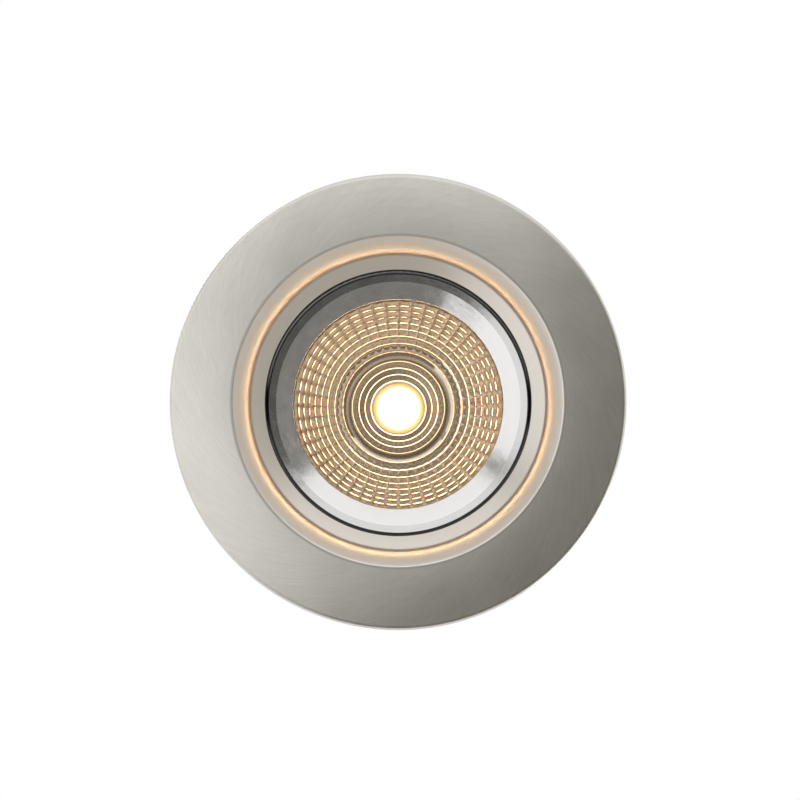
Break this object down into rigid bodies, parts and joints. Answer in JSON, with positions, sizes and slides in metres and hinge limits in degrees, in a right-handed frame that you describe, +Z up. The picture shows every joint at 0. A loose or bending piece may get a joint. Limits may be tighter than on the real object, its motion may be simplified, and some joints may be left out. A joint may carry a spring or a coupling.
{
  "type": "recessed spotlight",
  "caption": "Round adjustable recessed ceiling spotlight with a brushed flange, a stepped recess, a tilting head with a faceted reflector, a finned heat sink and spring clips.",
  "frame": {"origin": "on the lamp's axis, in the plane of the flange's back face, which lies against the ceiling", "axes": "+Z up into the ceiling along the lamp's axis, so the light shines towards -Z; the head tilts about X; the two clips stand at -Y (front) and +Y (back)"},
  "size_m": [0.096, 0.096, 0.0791],
  "materials": {
    "brushed_nickel": "die-cast, brushed round the axis and satin nickel plated",
    "polished_aluminium": "turned and polished",
    "cast_aluminium": "die-cast, bead blasted",
    "zinc_steel": "zinc plated sheet",
    "screw_steel": "nickel plated",
    "spring_steel": "drawn wire",
    "champagne_mirror": "bright anodised, champagne",
    "lens_glass": "clear, toughened",
    "clear_silicone": "translucent",
    "thermal_silicone": "matte",
    "black_rubber": "matte",
    "nylon": "natural nylon",
    "white_plastic": "moulded, heat resistant",
    "white_solder_mask": "white coated metal core",
    "phosphor": "glowing",
    "cream_plastic": "moulded",
    "black_plastic": "moulded, fine spark texture",
    "terminal_brass": "plain",
    "plated_brass": "nickel plated",
    "red_insulation": "silicone insulated",
    "black_insulation": "silicone insulated"
  },
  "bodies": {
    "root": {"trim_ring": "brushed_nickel", "ceiling_gasket": "black_rubber", "gimbal_frame": "zinc_steel", "frame_screws": "screw_steel", "clip_bracket_front": "zinc_steel", "clip_bracket_back": "zinc_steel", "bracket_screws": "screw_steel", "clip_pin_front": "screw_steel", "clip_pin_back": "screw_steel", "clip_spring_front": "spring_steel", "clip_spring_back": "spring_steel"},
    "head": {"bezel_ring": "polished_aluminium", "pivot_screws": "screw_steel", "pivot_washers": "nylon", "lens_seal": "clear_silicone", "lens": "lens_glass", "reflector": "champagne_mirror", "led_holder": "white_plastic", "holder_screws": "screw_steel", "led_board": "white_solder_mask", "led_phosphor": "phosphor", "thermal_pad": "thermal_silicone", "heat_sink": "cast_aluminium", "bezel_screws": "screw_steel", "lead_red": "red_insulation", "lead_black": "black_insulation", "terminal_block": "cream_plastic", "terminal_screws": "terminal_brass", "cap_seal": "black_rubber", "wiring_cap": "black_plastic", "cap_screws": "screw_steel", "gland_body": "plated_brass", "gland_locknut": "plated_brass", "gland_insert": "black_rubber", "gland_nut": "plated_brass"},
    "clip_front": {"clip_arm_front": "zinc_steel", "clip_pad_front": "black_rubber", "clip_spring_leg_front": "spring_steel"},
    "clip_back": {"clip_arm_back": "zinc_steel", "clip_pad_back": "black_rubber", "clip_spring_leg_back": "spring_steel"}
  },
  "joints": [
    {"name": "head_tilt", "type": "hinge", "parent": "root", "child": "head", "pos_m": [0, 0, 0.016], "axis": [1, 0, 0], "range_deg": [-20, 20]},
    {"name": "clip_front_fold", "type": "hinge", "parent": "root", "child": "clip_front", "pos_m": [0, -0.0368, 0.018], "axis": [-1, 0, 0], "range_deg": [0, 150], "stiffness_Nm_per_rad": 0.02, "springref_deg": -34.38},
    {"name": "clip_back_fold", "type": "hinge", "parent": "root", "child": "clip_back", "pos_m": [0, 0.0368, 0.018], "axis": [1, 0, 0], "range_deg": [0, 150], "stiffness_Nm_per_rad": 0.02, "springref_deg": -34.38}
  ]
}
